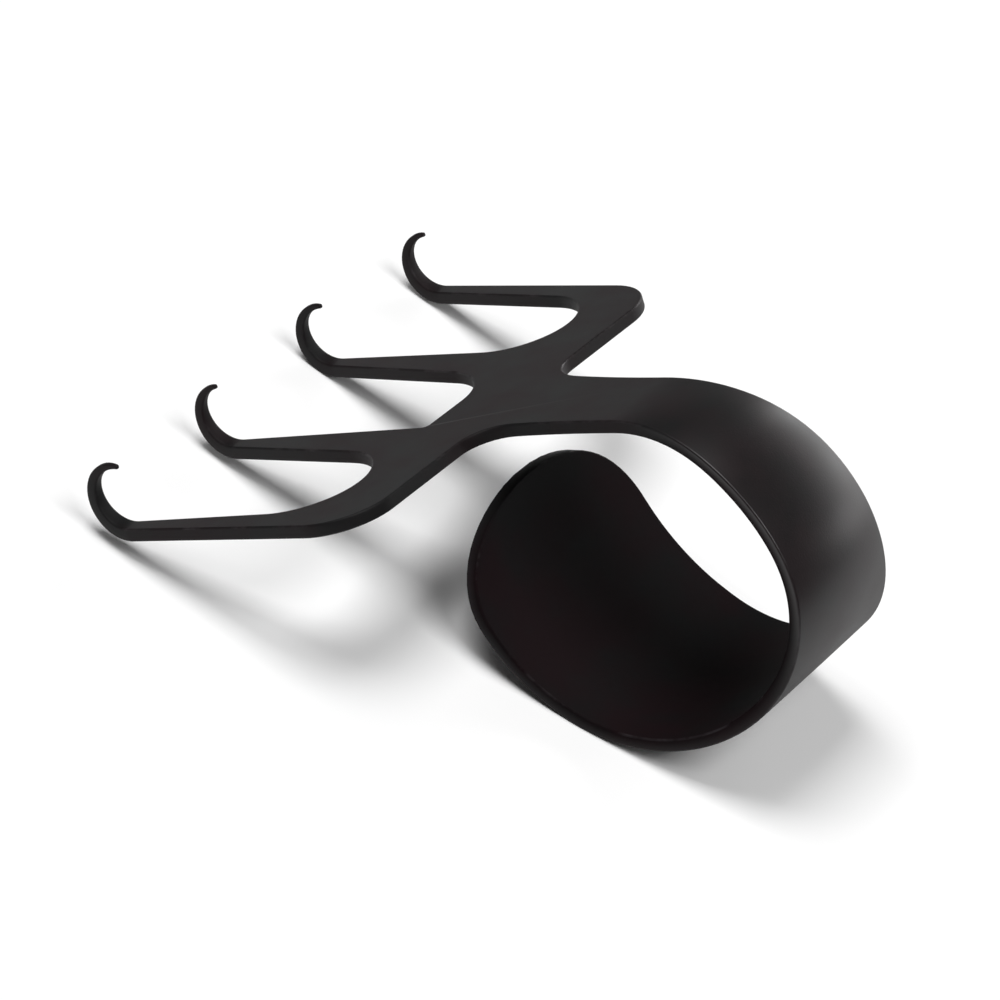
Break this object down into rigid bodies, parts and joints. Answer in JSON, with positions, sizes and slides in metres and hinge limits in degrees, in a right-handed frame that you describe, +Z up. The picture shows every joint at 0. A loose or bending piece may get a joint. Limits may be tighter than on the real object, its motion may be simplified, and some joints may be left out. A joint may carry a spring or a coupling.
{
  "type": "finger ring rake retractor",
  "caption": "Handheld surgical rake retractor: flat notched head with sharp hooked prongs and a rolled open finger ring ending in a rounded paddle.",
  "frame": {"origin": "on the table under the retractor as it lies at rest: the middle of its length, in the plane that halves its width", "axes": "+X from the prongs' hooks towards the finger ring, along the length; +Y across the row of prongs; +Z up"},
  "size_m": [0.05, 0.0411, 0.0223],
  "materials": {
    "black_coated_steel": "satin black coating"
  },
  "bodies": {
    "root": {"finger_ring_rake": "black_coated_steel"}
  },
  "joints": []
}
